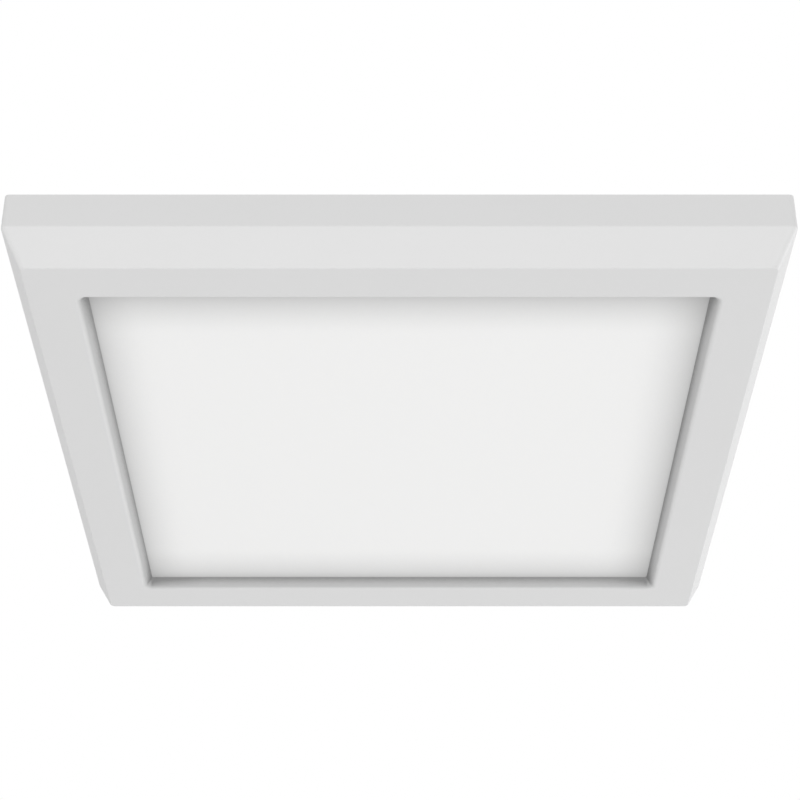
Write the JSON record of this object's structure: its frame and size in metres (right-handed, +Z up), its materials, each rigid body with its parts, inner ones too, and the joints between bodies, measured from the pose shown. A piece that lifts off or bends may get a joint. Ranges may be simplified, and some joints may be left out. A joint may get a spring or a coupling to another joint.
{
  "type": "flush mount ceiling light",
  "caption": "Square white flush mount ceiling light: bezel housing, frosted lens, edge lit light guide, driver, back cover and a clip-on ceiling bracket.",
  "frame": {"origin": "on the ceiling plane, at the centre of the mounting plate and of its box screw slots", "axes": "+Z up into the ceiling, the light hangs below z = 0; X and Y along the sides of the square"},
  "size_m": [0.2286, 0.2286, 0.0222],
  "materials": {
    "housing_white": "satin moulded white",
    "lens_frost": "frosted opal",
    "guide_clear": "clear polished acrylic",
    "reflector_white": "white film",
    "foam_grey": "closed cell foam",
    "spreader_aluminium": "mill finish",
    "strip_board": "white solder mask",
    "warm_led": "warm phosphor",
    "cool_led": "cool phosphor",
    "cover_steel": "galvanised",
    "plate_steel": "zinc plated",
    "screw_steel": "zinc plated",
    "clip_steel": "blued spring steel",
    "gasket_foam": "closed cell foam",
    "ground_green": "green dyed zinc",
    "block_grey": "moulded",
    "grommet_black": "moulded",
    "tray_white": "moulded",
    "board_green": "solder mask",
    "connector_white": "moulded",
    "fuse_body": "ceramic tube with tinned caps",
    "disc_blue": "dipped lacquer",
    "package_black": "moulded",
    "choke_copper": "enamelled copper on ferrite",
    "film_yellow": "moulded",
    "can_sleeve": "dark sleeve",
    "ferrite": "sintered ferrite",
    "winding_tape": "polyester tape",
    "switch_black": "moulded",
    "knob_white": "moulded"
  },
  "bodies": {
    "ceiling_bracket": {"mounting_plate": "plate_steel", "ground_screw": "ground_green"},
    "fixture": {"bezel_housing": "housing_white", "diffuser_lens": "lens_frost", "light_guide": "guide_clear", "reflector_sheet": "reflector_white", "foam_pad": "foam_grey", "heat_spreader": "spreader_aluminium", "led_strip_right": "strip_board", "led_strip_back": "strip_board", "led_strip_left": "strip_board", "led_strip_front": "strip_board", "warm_leds": "warm_led", "cool_leds": "cool_led", "spreader_screws": "screw_steel", "back_cover": "cover_steel", "cover_screws": "screw_steel", "ceiling_gasket": "gasket_foam", "spring_clip_left": "clip_steel", "spring_clip_right": "clip_steel", "clip_rivets": "screw_steel", "terminal_block": "block_grey", "lead_grommet": "grommet_black", "driver_tray": "tray_white", "driver_board": "board_green", "driver_lid": "tray_white", "driver_screws": "screw_steel", "input_connector": "connector_white", "output_connector": "connector_white", "fuse": "fuse_body", "surge_disc": "disc_blue", "bridge_rectifier": "package_black", "line_choke": "choke_copper", "film_capacitor": "film_yellow", "bulk_capacitor": "can_sleeve", "output_capacitors": "can_sleeve", "transformer_core": "ferrite", "transformer_winding": "winding_tape", "driver_chips": "package_black", "switch_body": "switch_black", "switch_screws": "screw_steel"},
    "colour_slider": {"switch_slider": "knob_white"}
  },
  "joints": [
    {"name": "fixture_drop", "type": "slide", "parent": "ceiling_bracket", "child": "fixture", "axis": [0, 0, -1], "range_m": [0, 0.06], "deforming": ["spring_clip_left", "spring_clip_right"]},
    {"name": "switch_slide", "type": "slide", "parent": "fixture", "child": "colour_slider", "axis": [1, 0, 0], "range_m": [-0.004, 0.004]}
  ]
}
